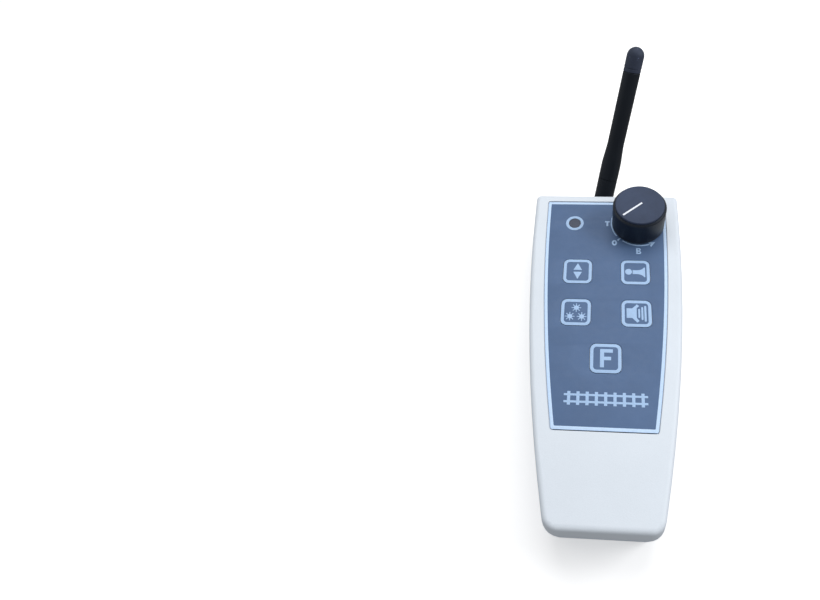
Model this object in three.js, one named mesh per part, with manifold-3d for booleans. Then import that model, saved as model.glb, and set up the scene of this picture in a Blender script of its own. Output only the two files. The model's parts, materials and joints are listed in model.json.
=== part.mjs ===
// Handheld radio controller for a model railway: a tapered two-shell case that lies on its back,
// a membrane keypad with five keys, a speed knob, a status light and a hinged whip antenna.
// Millimetres. +Z is up through the keypad, +Y runs towards the antenna end, +X is to the right.
// The origin is on the flat rear face, on the case's centre line, 86 mm from the antenna end.
import * as THREE from "three";
import { mergeVertices } from "three/addons/utils/BufferGeometryUtils.js";
import Module from "manifold-3d";

const wasm = await Module();
wasm.setup();

// ---- Driving dimensions ----------------------------------------------------------------------

// Case
const TOP_Y = 86; // the antenna end
const GRIP_Y = -87; // the grip end
const CASE_HALF_WIDTH = 40.1; // at the antenna end, where it is widest
const CASE_HEIGHT = 33;
const PARTING_Z = 21.5; // where the two shells meet
const WALL = 2.2;
const FLOOR = 2.5; // thickness of the rear face
const FRONT_EDGE = 2.2; // rounding of the front shell's edge
const REAR_EDGE = 3.5; // rounding of the rear shell's edge
const FRONT_DRAFT = 0.5; // how far the sides lean in from the parting line
const REAR_DRAFT = 2.1;
const SEAM = { depth: 0.7, halfHeight: 0.5 }; // shadow groove round the parting line
const TOP_CORNER = 3;
const GRIP_CORNER = 7;
const TAPER_START = 75; // below this Y the sides draw in towards the grip
const TAPER_DROP = 14.5;
const TAPER_RUN = 154;
const TAPER_POWER = 2.18;

// Keypad
const PANEL_MARGIN = 7.4; // from the case's side to the recess at the antenna end
const PANEL_SPREAD = 0.55; // how much wider that margin grows over the taper
const PANEL_TOP_Y = 80.7;
const PANEL_LOW_Y = -48;
const PANEL_CORNER = 1.2;
const RECESS_DEPTH = 0.8;
const PLATE = 2.2; // the front shell under the keypad
const OVERLAY_THICKNESS = 0.4;
const OVERLAY_GAP = 0.35; // between the overlay and the recess wall
const KEY_SIZE = 14.6;
const KEY_CORNER = 3;
const KEY_GAP = 0.25;
const KEY_TRAVEL = 0.5;
const KEYPAD_X = 0.35; // the keys stand this far right of the case's centre line
const KEY_COLUMN = 14.75;
const KEY_ROWS = { first: 33.8, second: 9.9, third: -14 };
const KEYS = {
  direction: [KEYPAD_X - KEY_COLUMN, KEY_ROWS.first],
  horn: [KEYPAD_X + KEY_COLUMN, KEY_ROWS.first],
  lights: [KEYPAD_X - KEY_COLUMN, KEY_ROWS.second],
  sound: [KEYPAD_X + KEY_COLUMN, KEY_ROWS.second],
  function: [KEYPAD_X, KEY_ROWS.third],
};

const RECESS_Z = CASE_HEIGHT - RECESS_DEPTH;
const OVERLAY_TOP_Z = RECESS_Z + OVERLAY_THICKNESS;
const ROOF_Z = RECESS_Z - PLATE; // inside face of the front shell

// Status light
const LIGHT = [-17.1, 65.3];
const WINDOW_RADIUS = 3.15;

// Circuit board
const BOARD = { halfWidth: 27.5, lowY: -21, topY: 75, lowZ: 20.2, thickness: 1.6 };
const BOARD_TOP_Z = BOARD.lowZ + BOARD.thickness;
const SWITCH = { side: 6, height: 3.5, plungerRadius: 1.75, plungerTopZ: 28.1 };

// Speed control
const KNOB = { x: 17.2, y: 65.1, radius: 14, lowZ: 33.5, topZ: 49.4, capRadius: 12.8 };
const POINTER = { angle: 220, from: -1.4, to: 11.5, width: 0.95 }; // at nought, anticlockwise from +X
const POT = { radius: 8.3, lowZ: 22.1, bushingRadius: 3.5, shaftRadius: 3 };

// Screws
const CASE_SCREWS = [
  [31.8, 70],
  [-31.8, 70],
  [21.5, -59],
  [-21.5, -59],
];
const BOARD_SCREWS = [
  [24, 21.8],
  [-24, 21.8],
];
const BOSS_RADIUS = 3.6;

// Batteries: two cells side by side under a cover that slides off over the grip end
const CELL = { radius: 7.25, length: 50.5, nubRadius: 2.7, nubHeight: 1.2, x: 7.4, z: 9.9 };
const BAY = { halfWidth: 15.2, lowY: -81.7, topY: -24.7, roofZ: 17.5, wall: 1.6 };
const COVER = { halfWidth: 17, thickness: 2, topY: -22.8, tongue: 1.3, clearance: 0.3 };
const COVER_GROOVES = 6;

// Antenna
const END_PANEL = { halfWidth: 26, lowZ: 5.2, topZ: 27.5, thickness: 1.9, lip: 1.2 };
const ANTENNA_X = -2.5;
const ANTENNA_Z = 12.5;
const PIN_Y = 94.7;
const SWIVEL = THREE.MathUtils.degToRad(12.2); // turned about the socket's axis at rest
const TILT = THREE.MathUtils.degToRad(62.7); // raised from straight at rest
const BASE_RADIUS = 5.3;
const WELL = { radius: 5.6, wall: 1.4, floorY: 77, floor: 1.6 }; // the socket is sunk in this well
const SOCKET = { innerY: 68.5, flange: [74.6, 76.7], outerY: 85.4, bore: 2.3 };
const TONGUE = 2.3; // half the thickness of the base's blade
const BLADE_RADIUS = 4.4;
const FORK_SLOT = 2.6; // half the width between the fork's ears
const FORK_REACH = 5.3; // radius of the ears about the hinge pin
const PIN_RADIUS = 1.2;
const WHIP = {
  kneeRadius: 5.6,
  slimRadius: 4.75,
  length: 92.8,
  seam: 18.4,
  shoulderStart: 25.5,
  shoulderEnd: 40.5,
};
const WHIP_GROOVES_Y = WHIP.length - 13;

// ---- Materials -------------------------------------------------------------------------------

const material = (color, roughness, metalness = 0) =>
  new THREE.MeshStandardMaterial({ color, roughness, metalness });
const MATERIALS = {
  case: material(0xdfe4ea, 0.6),
  film: material(0x5f7699, 0.5),
  key: material(0x667d9f, 0.5),
  black: material(0x17191e, 0.55),
  cap: material(0x3c404c, 0.5),
  print: material(0xe8eef6, 0.5),
  smoke: material(0x3a3c44, 0.15),
  lamp: material(0x9fd0a0, 0.2),
  brass: material(0xc8a24a, 0.35, 1),
  steel: material(0xb8bcc0, 0.35, 1),
  board: material(0x14532d, 0.6),
  chip: material(0x1c1d20, 0.6),
  cell: material(0x2b6f8f, 0.4),
  red: material(0xa02020, 0.6),
};

// ---- Solids ----------------------------------------------------------------------------------

// A closed three.js geometry as a manifold-3d solid.
function solid(geometry) {
  const bare = geometry.index ? geometry.toNonIndexed() : geometry.clone();
  bare.deleteAttribute("normal");
  bare.deleteAttribute("uv");
  const merged = mergeVertices(bare, 1e-4);
  return new wasm.Manifold(
    new wasm.Mesh({
      numProp: 3,
      vertProperties: merged.attributes.position.array,
      triVerts: new Uint32Array(merged.index.array),
    }),
  );
}

// A manifold-3d solid as a flat-shaded three.js geometry.
function geometryOf(body) {
  const mesh = body.getMesh();
  const positions = new Float32Array(mesh.numVert * 3);
  for (let i = 0; i < mesh.numVert; i++) {
    const start = i * mesh.numProp;
    positions.set(mesh.vertProperties.subarray(start, start + 3), i * 3);
  }
  const indexed = new THREE.BufferGeometry();
  indexed.setAttribute("position", new THREE.BufferAttribute(positions, 3));
  indexed.setIndex(new THREE.BufferAttribute(mesh.triVerts, 1));
  const flat = indexed.toNonIndexed();
  flat.computeVertexNormals();
  return flat;
}

const joined = (first, ...others) => others.reduce((body, other) => body.add(other), first);
const cut = (first, ...others) => others.reduce((body, other) => body.subtract(other), first);

function box([x0, x1], [y0, y1], [z0, z1]) {
  const block = new THREE.BoxGeometry(x1 - x0, y1 - y0, z1 - z0);
  return solid(block.translate((x0 + x1) / 2, (y0 + y1) / 2, (z0 + z1) / 2));
}

// A cylinder, prism or cone along Z, Y or X, from its start to its end on that axis.
function rod(axis, [x, y, z], radius, [start, end], sides = 20, endRadius = radius) {
  const bar = new THREE.CylinderGeometry(endRadius, radius, end - start, sides);
  bar.translate(0, (start + end) / 2, 0);
  if (axis === "z") bar.rotateX(Math.PI / 2);
  if (axis === "x") bar.rotateZ(-Math.PI / 2);
  return solid(bar.translate(x, y, z));
}

const post = (x, y, radius, span, sides) => rod("z", [x, y, 0], radius, span, sides);

// A flat shape raised between two heights.
function prism(shape, [z0, z1]) {
  const raised = new THREE.ExtrudeGeometry(shape, { depth: z1 - z0, bevelEnabled: false });
  return solid(raised.translate(0, 0, z0));
}

// A closed profile of [radius, height] points turned about Z.
function turned(profile, sides = 32) {
  const points = profile.map(([r, h]) => new THREE.Vector2(r, h));
  points.push(points[0].clone());
  const lathe = new THREE.LatheGeometry(points, sides);
  return lathe.rotateX(Math.PI / 2);
}

// A round wire along a curve.
function wire(curve, radius, steps, sides = 8) {
  const section = new THREE.Shape();
  for (let i = 0; i < sides; i++) {
    const angle = (2 * Math.PI * i) / sides;
    const point = [radius * Math.cos(angle), radius * Math.sin(angle)];
    if (i === 0) section.moveTo(...point);
    else section.lineTo(...point);
  }
  return new THREE.ExtrudeGeometry(section, { steps, extrudePath: curve });
}

function arcPoints(cx, cy, radius, from, to, count) {
  return Array.from({ length: count + 1 }, (_, i) => {
    const angle = THREE.MathUtils.degToRad(from + ((to - from) * i) / count);
    return new THREE.Vector2(cx + radius * Math.cos(angle), cy + radius * Math.sin(angle));
  });
}

const mirrored = (points) => points.map((p) => new THREE.Vector2(-p.x, p.y)).reverse();

// ---- Case outline ----------------------------------------------------------------------------

function halfWidth(y) {
  const below = Math.max(0, TAPER_START - y) / TAPER_RUN;
  return CASE_HALF_WIDTH - TAPER_DROP * below ** TAPER_POWER;
}

function sidePoints(lowY, topY, inset, count) {
  return Array.from({ length: count + 1 }, (_, i) => {
    const y = lowY + ((topY - lowY) * i) / count;
    return new THREE.Vector2(halfWidth(y) - inset, y);
  });
}

// The case's outline seen from the front, drawn in by the inset all round.
function caseOutline(inset) {
  const grip = Math.max(GRIP_CORNER - inset, 1);
  const top = Math.max(TOP_CORNER - inset, 0.5);
  const lean = 11.5; // degrees the sides lean at the grip
  const gripCentreY = GRIP_Y + inset + grip;
  const sideY = gripCentreY - grip * Math.sin(THREE.MathUtils.degToRad(lean));
  const gripCentreX = halfWidth(sideY) - inset - grip * Math.cos(THREE.MathUtils.degToRad(lean));
  const sideTopY = TOP_Y - inset - top;
  const right = [
    ...arcPoints(gripCentreX, gripCentreY, grip, -90, -lean, 5).slice(0, -1),
    ...sidePoints(sideY, sideTopY, inset, 12).slice(0, -1),
    ...arcPoints(CASE_HALF_WIDTH - inset - top, sideTopY, top, 0, 90, 3),
  ];
  return new THREE.Shape([...right, ...mirrored(right)]);
}

// The outline of the keypad's recess, drawn in by the inset.
function panelOutline(inset) {
  const corner = PANEL_CORNER - inset;
  const lowY = PANEL_LOW_Y + inset + corner;
  const topY = PANEL_TOP_Y - inset - corner;
  const side = sidePoints(lowY, topY, PANEL_MARGIN + inset, 8).map((p) => {
    const along = Math.max(0, TAPER_START - p.y) / TAPER_RUN;
    return new THREE.Vector2(p.x - PANEL_SPREAD * along, p.y);
  });
  const right = [
    ...arcPoints(side[0].x - corner, lowY, corner, -90, 0, 3).slice(0, -1),
    ...side,
    ...arcPoints(side.at(-1).x - corner, topY, corner, 0, 90, 3).slice(1),
  ];
  return new THREE.Shape([...right, ...mirrored(right)]);
}

function keyOutline([x, y], half, corner) {
  const at = half - corner;
  const corners = [
    [1, -1, -90],
    [1, 1, 0],
    [-1, 1, 90],
    [-1, -1, 180],
  ];
  return new THREE.Shape(
    corners.flatMap(([sx, sy, from]) => arcPoints(x + sx * at, y + sy * at, corner, from, from + 90, 3)),
  );
}

// A closed skin through outlines of equal point count, one above the other.
function lofted(levels) {
  const rings = levels.map(({ inset }) => caseOutline(inset).getPoints());
  const count = rings[0].length;
  const positions = rings.flatMap((ring, k) => ring.flatMap((p) => [p.x, p.y, levels[k].z]));
  const last = (rings.length - 1) * count;
  const index = [];
  for (let k = 0; k < last; k += count) {
    for (let i = 0; i < count; i++) {
      const next = (i + 1) % count;
      index.push(k + i, k + next, k + count + next, k + i, k + count + next, k + count + i);
    }
  }
  for (const [a, b, c] of THREE.ShapeUtils.triangulateShape(rings[0], [])) index.push(c, b, a);
  for (const [a, b, c] of THREE.ShapeUtils.triangulateShape(rings.at(-1), [])) {
    index.push(last + a, last + b, last + c);
  }
  const skin = new THREE.BufferGeometry();
  skin.setAttribute("position", new THREE.Float32BufferAttribute(positions, 3));
  skin.setIndex(index);
  return solid(skin);
}

// The case's form drawn in by the inset: fullest at the parting line, rounded at both faces.
function caseForm(inset, [lowZ, highZ]) {
  const low = Math.max(REAR_EDGE - inset, 0.5);
  const high = Math.max(FRONT_EDGE - inset, 0.5);
  const steps = 4;
  const levels = [];
  for (let i = 0; i <= steps; i++) {
    const angle = (Math.PI / 2) * (i / steps);
    const inward = inset + REAR_DRAFT + low * (1 - Math.sin(angle));
    levels.push({ z: lowZ + low * (1 - Math.cos(angle)), inset: inward });
  }
  levels.push({ z: PARTING_Z, inset });
  for (let i = steps; i >= 0; i--) {
    const angle = (Math.PI / 2) * (i / steps);
    const inward = inset + FRONT_DRAFT + high * (1 - Math.sin(angle));
    levels.push({ z: highZ - high * (1 - Math.cos(angle)), inset: inward });
  }
  return lofted(levels);
}

const outerForm = () => caseForm(0, [0, CASE_HEIGHT]);
const innerForm = () => caseForm(WALL, [FLOOR, ROOF_Z]);

const EVERYWHERE = [-200, 200];

// ---- Front shell -----------------------------------------------------------------------------

// The tongue on the rear shell's rim fits a rebate inside the front shell.
const RIM = { inner: WALL, outer: 1.4, height: 1.5, clearance: 0.25 };

function endOpening() {
  const { halfWidth: half, lowZ, topZ } = END_PANEL;
  return box([-half, half], [TOP_Y - WALL - REAR_DRAFT - 0.5, TOP_Y + 1], [lowZ, topZ]);
}

// The groove that both shells' edges leave round the parting line.
function seamGroove() {
  const span = [PARTING_Z - SEAM.halfHeight, PARTING_Z + SEAM.halfHeight];
  return cut(prism(caseOutline(-1), span), prism(caseOutline(SEAM.depth), span));
}

function frontShell() {
  const outside = outerForm().intersect(box(EVERYWHERE, EVERYWHERE, [PARTING_Z, CASE_HEIGHT + 1]));
  const rebate = prism(caseOutline(RIM.outer - RIM.clearance), [
    PARTING_Z - 1,
    PARTING_Z + RIM.height + RIM.clearance,
  ]);
  const recess = prism(panelOutline(0), [RECESS_Z, CASE_HEIGHT + 1]);
  const hollow = cut(outside, innerForm(), rebate, recess, endOpening(), seamGroove());
  const keyCuts = Object.values(KEYS).flatMap(([x, y]) => [
    prism(keyOutline([x, y], KEY_SIZE / 2 + 0.4, KEY_CORNER), [RECESS_Z - KEY_TRAVEL - 0.2, CASE_HEIGHT]),
    post(x, y, 3.2, [ROOF_Z - 1, CASE_HEIGHT], 12),
  ]);
  const holes = [
    ...keyCuts,
    post(...LIGHT, 2.8, [ROOF_Z - 1, CASE_HEIGHT], 16),
    post(KNOB.x, KNOB.y, POT.bushingRadius + 0.3, [ROOF_Z - 1, CASE_HEIGHT], 16),
  ];
  const posts = [
    ...CASE_SCREWS.map(([x, y]) => screwPost(x, y, BOSS_RADIUS, PARTING_Z + 0.3, 1.75)),
    ...BOARD_SCREWS.map(([x, y]) => screwPost(x, y, 2.7, BOARD_TOP_Z + 0.05, 1.35)),
  ];
  return joined(cut(hollow, ...holes), ...posts);
}

// A post under the front shell's roof with a hole for a screw from behind.
function screwPost(x, y, radius, lowZ, holeRadius) {
  const column = post(x, y, radius, [lowZ, ROOF_Z + 0.5], 14);
  return column.subtract(post(x, y, holeRadius, [lowZ - 1, ROOF_Z - 1.5], 10));
}

// ---- Rear shell and battery cover ------------------------------------------------------------

// The outer form of the rear shell, which the battery cover completes.
const rearForm = () => outerForm().intersect(box(EVERYWHERE, EVERYWHERE, [-1, PARTING_Z]));

function coverSlot() {
  const { halfWidth: half, thickness, topY, tongue, clearance: gap } = COVER;
  const far = GRIP_Y - 5;
  return joined(
    box([-half - gap, half + gap], [far, topY + gap], [-1, thickness + gap]),
    box([-half - tongue - gap, half + tongue + gap], [far, topY + gap], [0.9, thickness + gap]),
  );
}

function rearShell() {
  const form = rearForm();
  const rimOuter = prism(caseOutline(RIM.outer), [PARTING_Z - 1, PARTING_Z + RIM.height]);
  const rimInner = prism(caseOutline(RIM.inner), [PARTING_Z - 2, PARTING_Z + RIM.height + 1]);
  const rim = cut(rimOuter, rimInner, endOpening());
  const { halfWidth: half, lowY, topY, roofZ, wall } = BAY;
  const bay = box([-half - wall, half + wall], [lowY - wall, topY + wall], [FLOOR - 0.5, roofZ + wall]);
  const ledge = box([-COVER.halfWidth - 3, COVER.halfWidth + 3], [GRIP_Y + 1, COVER.topY + 2], [2, 3.9]);
  const bayInside = box([-half, half], [lowY, topY], [1, roofZ]);
  const leads = BATTERY_LEADS.map(({ x, z }) => rod("y", [x, 0, z], 1.1, [topY - 1, topY + wall + 1], 8));
  const bosses = CASE_SCREWS.map(([x, y]) => post(x, y, BOSS_RADIUS, [1, PARTING_Z - 0.3], 14));
  const screwHoles = CASE_SCREWS.flatMap(([x, y]) => [
    post(x, y, 1.75, [-1, PARTING_Z + 1], 10),
    post(x, y, 2.6, [-1, 3.2], 16),
  ]);
  const walls = cut(form, innerForm(), endOpening(), seamGroove());
  const hollow = joined(walls, rim, bay, ledge.intersect(form), ...bosses);
  return cut(hollow, bayInside, coverSlot(), ...leads, ...screwHoles);
}

function batteryCover() {
  const { halfWidth: half, thickness, topY, tongue } = COVER;
  const plate = joined(
    box([-half, half], [GRIP_Y - 1, topY], [-1, thickness]),
    box([-half - tongue, half + tongue], [GRIP_Y - 1, topY], [1.2, thickness]),
  );
  const grooves = Array.from({ length: COVER_GROOVES }, (_, i) => {
    const y = topY - 8 - 2.4 * i;
    return box([-9, 9], [y, y + 1], [-1, 0.6]);
  });
  return cut(plate.intersect(rearForm()), ...grooves);
}

// ---- Cells and contacts ----------------------------------------------------------------------

const CONTACT = { thickness: 0.4, height: 10, gap: 0.1 };
const BATTERY_LEADS = [
  { name: "battery_lead_red", x: -11.6, z: 13.4, material: "red" },
  { name: "battery_lead_black", x: 11.6, z: 13.4, material: "chip" },
];

// A cell along Y; its nub points towards +Y, or towards -Y when reversed.
function cell(x, tipY, reversed) {
  const body = CELL.length - CELL.nubHeight;
  const profile = [
    [0, 0],
    [CELL.radius - 0.6, 0],
    [CELL.radius, 0.6],
    [CELL.radius, body - 0.6],
    [CELL.radius - 0.6, body],
    [CELL.nubRadius, body],
    [CELL.nubRadius, CELL.length],
    [0, CELL.length],
  ];
  const geometry = turned(profile, 24);
  geometry.translate(0, 0, -CELL.length);
  geometry.rotateX(reversed ? Math.PI / 2 : -Math.PI / 2);
  return geometry.translate(x, tipY, CELL.z);
}

function contactPlate([x0, x1], y) {
  const [low, high] = [CELL.z - CONTACT.height / 2, CELL.z + CONTACT.height / 2];
  return box([x0, x1], [y, y + CONTACT.thickness], [low, high]);
}

// A conical contact spring along Y, wide at its foot.
class SpringCurve extends THREE.Curve {
  constructor(x, footY, tipY) {
    super();
    Object.assign(this, { x, footY, tipY });
  }
  getPoint(t) {
    const turns = 3.5;
    const radius = 4 - 1.6 * t;
    const angle = 2 * Math.PI * turns * t;
    const y = this.footY + (this.tipY - this.footY) * t;
    return new THREE.Vector3(this.x + radius * Math.cos(angle), y, CELL.z + radius * Math.sin(angle));
  }
}

const springCoil = (x, footY, tipY) => solid(wire(new SpringCurve(x, footY, tipY), 0.4, 32, 6));

function bridgeContact() {
  const y = BAY.lowY + CONTACT.gap;
  const face = y + CONTACT.thickness;
  const tip = BAY.topY - 0.6 - CELL.length - 0.5;
  return contactPlate([-12.4, 12.4], y).add(springCoil(-CELL.x, face + 0.3, tip));
}

function negativeContact() {
  const y = BAY.topY - CONTACT.gap - CONTACT.thickness;
  const tip = BAY.lowY + 0.6 + CELL.length + 0.5;
  return contactPlate([2.4, 12.6], y).add(springCoil(CELL.x, y - 0.3, tip));
}

const positiveContact = () => contactPlate([-12.6, -2.4], BAY.topY - CONTACT.gap - CONTACT.thickness);

// A battery lead leaves the bay through its end wall and rises to the circuit board's edge.
function batteryLead({ x, z }) {
  const end = BOARD.lowZ - 0.1;
  const route = new THREE.CatmullRomCurve3([
    new THREE.Vector3(x, BAY.topY - 0.05, z),
    new THREE.Vector3(x, BAY.topY + 2.5, z),
    new THREE.Vector3(x, BAY.topY + 6, z + 1),
    new THREE.Vector3(x, BOARD.lowY + 4, end - 3),
    new THREE.Vector3(x, BOARD.lowY + 4.5, end),
  ]);
  return wire(route, 0.7, 12);
}

// ---- Keypad ----------------------------------------------------------------------------------

function overlay() {
  const film = prism(panelOutline(OVERLAY_GAP), [RECESS_Z, OVERLAY_TOP_Z]);
  const span = [RECESS_Z - 1, OVERLAY_TOP_Z + 1];
  const keyHoles = Object.values(KEYS).map((at) =>
    prism(keyOutline(at, KEY_SIZE / 2 + KEY_GAP, KEY_CORNER), span),
  );
  return cut(
    film,
    ...keyHoles,
    post(...LIGHT, WINDOW_RADIUS + 0.15, span, 24),
    post(KNOB.x, KNOB.y, POT.bushingRadius + 0.4, span, 16),
  );
}

// A key: its zone of the film with the stub that reaches through the shell to the switch.
function key([x, y]) {
  const face = prism(keyOutline([x, y], KEY_SIZE / 2, KEY_CORNER), [RECESS_Z, OVERLAY_TOP_Z]);
  return face.add(post(x, y, 2.6, [SWITCH.plungerTopZ + 0.1, RECESS_Z + 0.2], 12));
}

function tactileSwitch([x, y]) {
  const half = SWITCH.side / 2;
  const body = box([x - half, x + half], [y - half, y + half], [BOARD_TOP_Z, BOARD_TOP_Z + SWITCH.height]);
  return body.subtract(post(x, y, SWITCH.plungerRadius + 0.25, [BOARD_TOP_Z + 1, BOARD_TOP_Z + 5], 12));
}

const plunger = ([x, y]) =>
  post(x, y, SWITCH.plungerRadius, [BOARD_TOP_Z + SWITCH.height - 1.6, SWITCH.plungerTopZ], 12);

// ---- Circuit board ---------------------------------------------------------------------------

function circuitBoard() {
  const { halfWidth: half, lowY, topY, lowZ } = BOARD;
  const plate = box([-half, half], [lowY, topY], [lowZ, BOARD_TOP_Z]);
  const holes = BOARD_SCREWS.map(([x, y]) => post(x, y, 1.5, [lowZ - 1, BOARD_TOP_Z + 1], 10));
  return cut(plate, ...holes);
}

const MODULE = { halfWidth: 8, lowY: 35, topY: 58, height: 2.8 };

function radioModule() {
  const { halfWidth: half, lowY, topY, height } = MODULE;
  const carrier = box([-half, half], [lowY, topY], [BOARD.lowZ - 1.1, BOARD.lowZ - 0.1]);
  const shield = box([-half + 1, half - 1], [lowY + 1, topY - 6], [BOARD.lowZ - height, BOARD.lowZ - 1]);
  const socket = rod("z", [0, topY - 2.5, 0], 1.4, [BOARD.lowZ - 2, BOARD.lowZ - 1], 12);
  return joined(carrier, shield, socket);
}

function coaxPigtail() {
  const plugY = MODULE.topY - 2.5;
  const route = new THREE.CatmullRomCurve3([
    new THREE.Vector3(ANTENNA_X, SOCKET.innerY - 0.1, ANTENNA_Z),
    new THREE.Vector3(ANTENNA_X, SOCKET.innerY - 3.5, ANTENNA_Z),
    new THREE.Vector3(ANTENNA_X + 0.8, plugY + 6, ANTENNA_Z + 2.5),
    new THREE.Vector3(-0.4, plugY + 2.5, ANTENNA_Z + 4.2),
    new THREE.Vector3(0, plugY, ANTENNA_Z + 4.6),
  ]);
  return wire(route, 0.8, 14);
}

function lamp() {
  const [x, y] = LIGHT;
  const profile = [
    [0, 0],
    [2.9, 0],
    [2.9, 1],
    [2.5, 1],
    [2.5, 6.6],
    [2.1, 8],
    [1.2, 8.9],
    [0, 9.2],
  ];
  return turned(profile, 16).translate(x, y, BOARD_TOP_Z + 0.1);
}

// ---- Speed control ---------------------------------------------------------------------------

function potBody() {
  const { x, y } = KNOB;
  const can = post(x, y, POT.radius, [POT.lowZ, ROOF_Z - 0.3], 24);
  return can.subtract(post(x, y, POT.shaftRadius + 0.3, [POT.lowZ + 1.8, ROOF_Z], 20));
}

function potBushing() {
  const { x, y } = KNOB;
  const tube = post(x, y, POT.bushingRadius, [ROOF_Z, 36.2], 20);
  return tube.subtract(post(x, y, POT.shaftRadius + 0.25, [ROOF_Z - 1, 38], 20));
}

const washer = (outer, [z0, z1], sides) => ringAt(KNOB, outer, POT.bushingRadius + 0.25, [z0, z1], sides);

function ringAt({ x, y }, outer, inner, [z0, z1], sides) {
  return post(x, y, outer, [z0, z1], sides).subtract(post(x, y, inner, [z0 - 1, z1 + 1], 20));
}

const potShaft = () => post(KNOB.x, KNOB.y, POT.shaftRadius, [POT.lowZ + 2.2, 45.6], 20);

function knobBody() {
  const { radius: r, lowZ, topZ } = KNOB;
  const rim = topZ - 1.1;
  const profile = [
    [3.2 + 1.9, 36.6],
    [5.9, 36.6],
    [5.9, 44],
    [r - 1.8, 44],
    [r - 1.8, lowZ],
    [r - 0.3, lowZ],
    [r, lowZ + 0.4],
    [r, rim - 0.6],
    [r - 0.6, rim],
    [KNOB.capRadius + 0.2, rim],
    [KNOB.capRadius + 0.2, rim - 1.2],
    [7, rim - 1.2],
    [7, 46],
    [3.2 + 1.9, 46],
  ];
  return turned(profile, 36).translate(KNOB.x, KNOB.y, 0);
}

function knobCap() {
  const { capRadius: r, topZ } = KNOB;
  const profile = [
    [0, topZ - 2.2],
    [r, topZ - 2.2],
    [r, topZ - 0.4],
    [r - 0.4, topZ],
    [0, topZ],
  ];
  return turned(profile, 36).translate(KNOB.x, KNOB.y, 0);
}

// The white line on the cap, from just past its centre towards its edge.
function pointerLine() {
  const { angle, from, to, width } = POINTER;
  const line = new THREE.BoxGeometry(to - from, width, 0.12);
  line.translate((from + to) / 2, 0, KNOB.topZ + 0.06);
  line.rotateZ(THREE.MathUtils.degToRad(angle));
  return line.translate(KNOB.x, KNOB.y, 0);
}

// The split brass collet that grips the shaft inside the knob.
function knobCollet() {
  const { x, y } = KNOB;
  const sleeve = post(x, y, 4.8, [36.8, 45.6], 20).subtract(post(x, y, 3.2, [36, 47], 20));
  return sleeve.subtract(box([x - 0.4, x + 0.4], [y, y + 6], [36, 44]));
}

const colletNut = () => ringAt(KNOB, 4.6, 2, [45.8, 47], 6);

// ---- Antenna ---------------------------------------------------------------------------------

// A cylinder along the antenna socket's axis.
const antennaRod = (radius, span, sides = 20) => rod("y", [ANTENNA_X, 0, ANTENNA_Z], radius, span, sides);

// The panel's face lies just inside the shells' and slopes as they do.
function endPanel() {
  const { halfWidth: half, lowZ, topZ, thickness, lip } = END_PANEL;
  const { radius, wall, floorY, floor } = WELL;
  const outer = TOP_Y - 0.4;
  const inner = TOP_Y - WALL - REAR_DRAFT - 0.6;
  const face = box([-half + 0.3, half - 0.3], [inner - 0.5, TOP_Y], [lowZ + 0.3, topZ - 0.3]);
  const plate = joined(
    face.intersect(caseForm(0.4, [0, CASE_HEIGHT])),
    box([-half - lip, half + lip], [inner - thickness, inner], [lowZ - lip, topZ + lip]),
    antennaRod(radius + wall, [floorY, outer - 2.2]),
  );
  return cut(plate, antennaRod(radius, [floorY + floor, outer + 1]), antennaRod(3.4, [floorY - 1, outer]));
}

// The socket's threaded barrel, with its flange behind the well.
function antennaSocket() {
  const flange = antennaRod(4.6, SOCKET.flange, 6);
  const barrel = antennaRod(3.1, [SOCKET.innerY, SOCKET.outerY]);
  const bore = antennaRod(SOCKET.bore, [SOCKET.outerY - 5, SOCKET.outerY + 1], 12);
  return cut(joined(flange, barrel), bore);
}

function sleeve(outer, inner, [start, end], sides) {
  return antennaRod(outer, [start, end], sides).subtract(antennaRod(inner, [start - 1, end + 1]));
}

// The swivelling base, in its own frame: Y along the socket, the hinge pin at the origin.
function antennaBase() {
  const drum = rod("y", [0, 0, 0], BASE_RADIUS, [-7.2, -5.8], 24);
  const spigot = rod("y", [0, 0, 0], 2.1, [-8.9, -7], 12);
  const blade = joined(
    rod("x", [0, 0, 0], BLADE_RADIUS, [-TONGUE, TONGUE], 24),
    box([-TONGUE, TONGUE], [-6, 0], [-BLADE_RADIUS, BLADE_RADIUS]),
  );
  const hole = rod("x", [0, 0, 0], PIN_RADIUS + 0.3, [-8, 8], 16);
  return cut(joined(drum, spigot, blade), hole);
}

const hingePin = () => rod("x", [0, 0, 0], PIN_RADIUS, [-4.8, 4.8], 16);

// The whip's pieces, in their own frame: Y along the whip, the hinge pin at the origin.
function antennaKnuckle() {
  const { kneeRadius: knee, seam } = WHIP;
  const collar = rod("y", [0, 0, 0], knee, [-FORK_REACH, seam], 28);
  const ears = joined(
    rod("x", [0, 0, 0], FORK_REACH, [-7, 7], 24),
    box([-7, 7], [0, seam + 1], [-7, 7]),
  );
  const spigot = rod("y", [0, 0, 0], 3.2, [seam - 1, seam + 6], 16);
  const slot = box([-FORK_SLOT, FORK_SLOT], [-7, BLADE_RADIUS + 0.4], [-8, 8]);
  const hole = rod("x", [0, 0, 0], PIN_RADIUS + 0.15, [-8, 8], 16);
  return cut(joined(collar.intersect(ears), spigot), slot, hole);
}

// A profile of [radius, height] points turned about the whip's own axis.
const whipTurned = (profile, sides) => turned(profile, sides).rotateX(-Math.PI / 2);

function antennaSheath() {
  const { kneeRadius: knee, slimRadius: slim, seam, shoulderStart, shoulderEnd } = WHIP;
  const top = WHIP_GROOVES_Y;
  const bore = 3.5;
  const profile = [
    [bore, seam + 0.1],
    [knee, seam + 0.1],
    [knee, shoulderStart],
    [slim, shoulderEnd],
    [slim, top - 0.2],
    [bore, top - 0.2],
  ];
  return whipTurned(profile, 24);
}

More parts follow.
